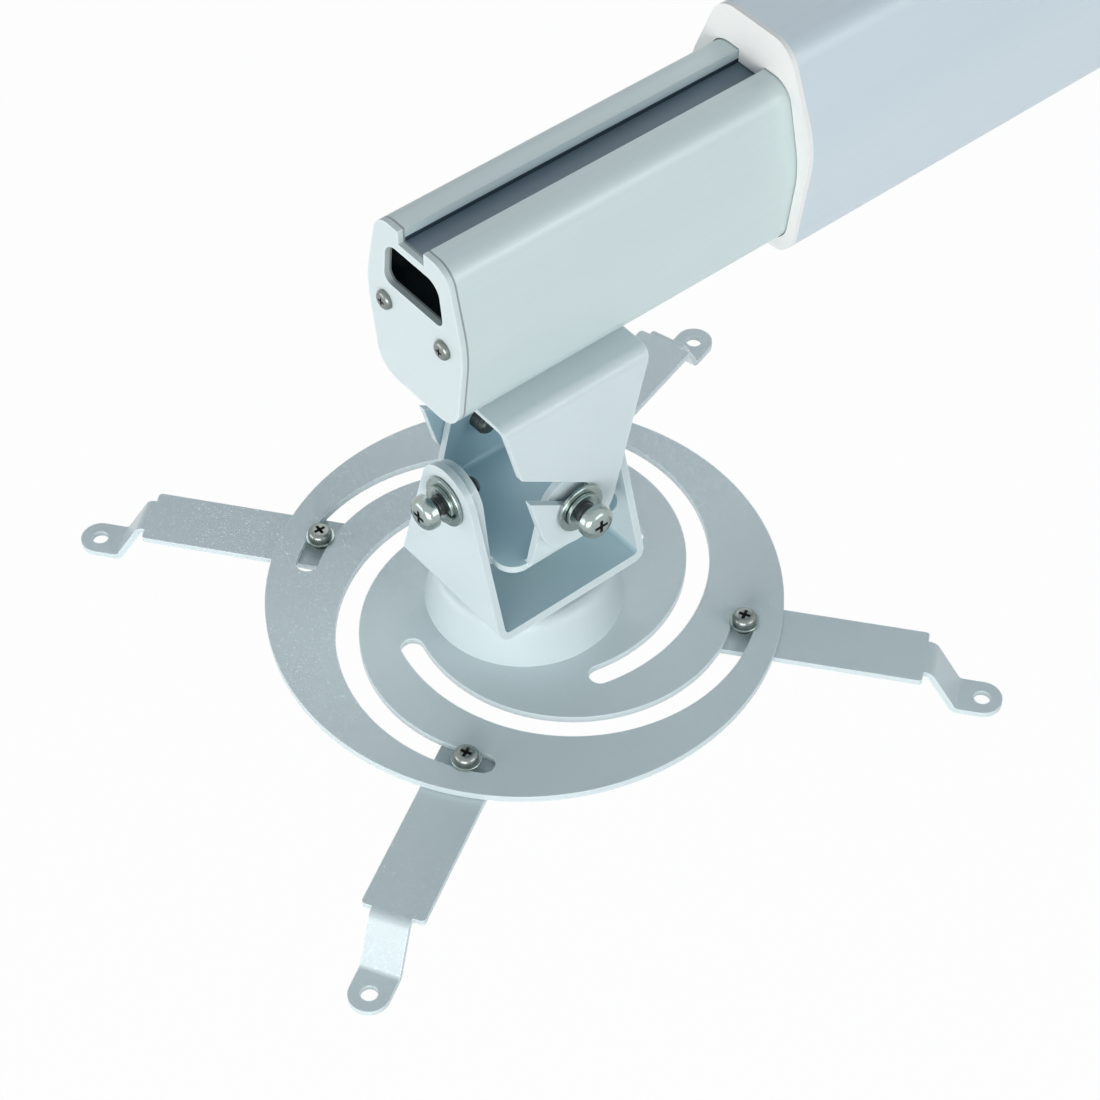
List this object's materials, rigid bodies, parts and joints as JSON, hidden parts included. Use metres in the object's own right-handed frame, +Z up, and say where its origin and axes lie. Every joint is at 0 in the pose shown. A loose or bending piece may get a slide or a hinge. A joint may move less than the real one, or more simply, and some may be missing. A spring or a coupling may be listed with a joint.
{
  "type": "projector mount",
  "caption": "Telescopic wall arm for a projector, with a tilting and rolling gimbal under its end and a swivelling disc whose curved slots carry adjustable bent arms.",
  "frame": {"origin": "centre of the wall bolt pattern on the back face of the wall plate, at the height of the outer tube axis", "axes": "+Y into the wall along the tubes, +Z up, +X to the right for someone facing the wall"},
  "size_m": [0.2999, 0.657, 0.2793],
  "materials": {
    "painted_steel": "satin silver-grey powder coat",
    "anodised_tube": "fine satin anodised",
    "cream_plastic": "matte moulded",
    "nylon": "matte",
    "plated_steel": "zinc plated"
  },
  "bodies": {
    "wall": {"wall_plate": "painted_steel", "outer_tube": "anodised_tube", "tube_screws": "plated_steel", "boom_lock_screw": "plated_steel", "tube_collar": "cream_plastic"},
    "boom": {"inner_tube": "anodised_tube", "end_plate": "anodised_tube", "end_plate_screws": "plated_steel", "rear_guide": "cream_plastic", "upper_bracket": "painted_steel", "bracket_bolts": "plated_steel", "nut_plate": "plated_steel"},
    "tray": {"gimbal_tray": "painted_steel", "tilt_screws": "plated_steel", "tilt_washers": "plated_steel", "roll_screws": "plated_steel", "roll_washers": "plated_steel"},
    "yoke": {"lower_yoke": "painted_steel"},
    "spider": {"hub": "painted_steel", "spider_disc": "painted_steel", "swivel_washer": "nylon", "swivel_bolt": "plated_steel", "swivel_nut": "plated_steel"},
    "carrier_1": {"arm_bolt_1": "plated_steel", "arm_washer_1": "plated_steel", "arm_nut_1": "plated_steel"},
    "arm_1": {"arm_1": "painted_steel"},
    "carrier_2": {"arm_bolt_2": "plated_steel", "arm_washer_2": "plated_steel", "arm_nut_2": "plated_steel"},
    "arm_2": {"arm_2": "painted_steel"},
    "carrier_3": {"arm_bolt_3": "plated_steel", "arm_washer_3": "plated_steel", "arm_nut_3": "plated_steel"},
    "arm_3": {"arm_3": "painted_steel"},
    "carrier_4": {"arm_bolt_4": "plated_steel", "arm_washer_4": "plated_steel", "arm_nut_4": "plated_steel"},
    "arm_4": {"arm_4": "painted_steel"}
  },
  "joints": [
    {"name": "boom_slide", "type": "slide", "parent": "wall", "child": "boom", "axis": [0, -1, 0], "range_m": [-0.055, 0.2]},
    {"name": "tilt", "type": "hinge", "parent": "boom", "child": "tray", "pos_m": [0, -0.5, -0.1005], "axis": [1, 0, 0], "range_deg": [-20, 20]},
    {"name": "roll", "type": "hinge", "parent": "tray", "child": "yoke", "pos_m": [0, -0.5, -0.1005], "axis": [0, 1, 0], "range_deg": [-20, 20]},
    {"name": "swivel", "type": "hinge", "parent": "yoke", "child": "spider", "pos_m": [0, -0.5, -0.175], "axis": [0, 0, 1], "continuous": true},
    {"name": "arm_travel_1", "type": "hinge", "parent": "spider", "child": "carrier_1", "pos_m": [0.01189, -0.48557, -0.175], "axis": [0, 0, 1], "range_deg": [-130, 1.5]},
    {"name": "arm_turn_1", "type": "hinge", "parent": "carrier_1", "child": "arm_1", "pos_m": [0.06614, -0.44557, -0.175], "axis": [0, 0, 1], "range_deg": [-45, 45]},
    {"name": "arm_travel_2", "type": "hinge", "parent": "spider", "child": "carrier_2", "pos_m": [-0.01443, -0.48811, -0.175], "axis": [0, 0, 1], "range_deg": [-130, 1.5]},
    {"name": "arm_turn_2", "type": "hinge", "parent": "carrier_2", "child": "arm_2", "pos_m": [-0.05309, -0.43289, -0.175], "axis": [0, 0, 1], "range_deg": [-45, 45]},
    {"name": "arm_travel_3", "type": "hinge", "parent": "spider", "child": "carrier_3", "pos_m": [-0.01189, -0.51443, -0.175], "axis": [0, 0, 1], "range_deg": [-130, 1.5]},
    {"name": "arm_turn_3", "type": "hinge", "parent": "carrier_3", "child": "arm_3", "pos_m": [-0.07216, -0.54461, -0.175], "axis": [0, 0, 1], "range_deg": [-45, 45]},
    {"name": "arm_travel_4", "type": "hinge", "parent": "spider", "child": "carrier_4", "pos_m": [0.01443, -0.51189, -0.175], "axis": [0, 0, 1], "range_deg": [-130, 1.5]},
    {"name": "arm_turn_4", "type": "hinge", "parent": "carrier_4", "child": "arm_4", "pos_m": [0.05104, -0.56849, -0.175], "axis": [0, 0, 1], "range_deg": [-45, 45]}
  ],
  "couplings": [
    {"joint": "arm_travel_2", "follows": "arm_travel_1", "ratio": 1},
    {"joint": "arm_travel_3", "follows": "arm_travel_1", "ratio": 1},
    {"joint": "arm_travel_4", "follows": "arm_travel_1", "ratio": 1}
  ]
}
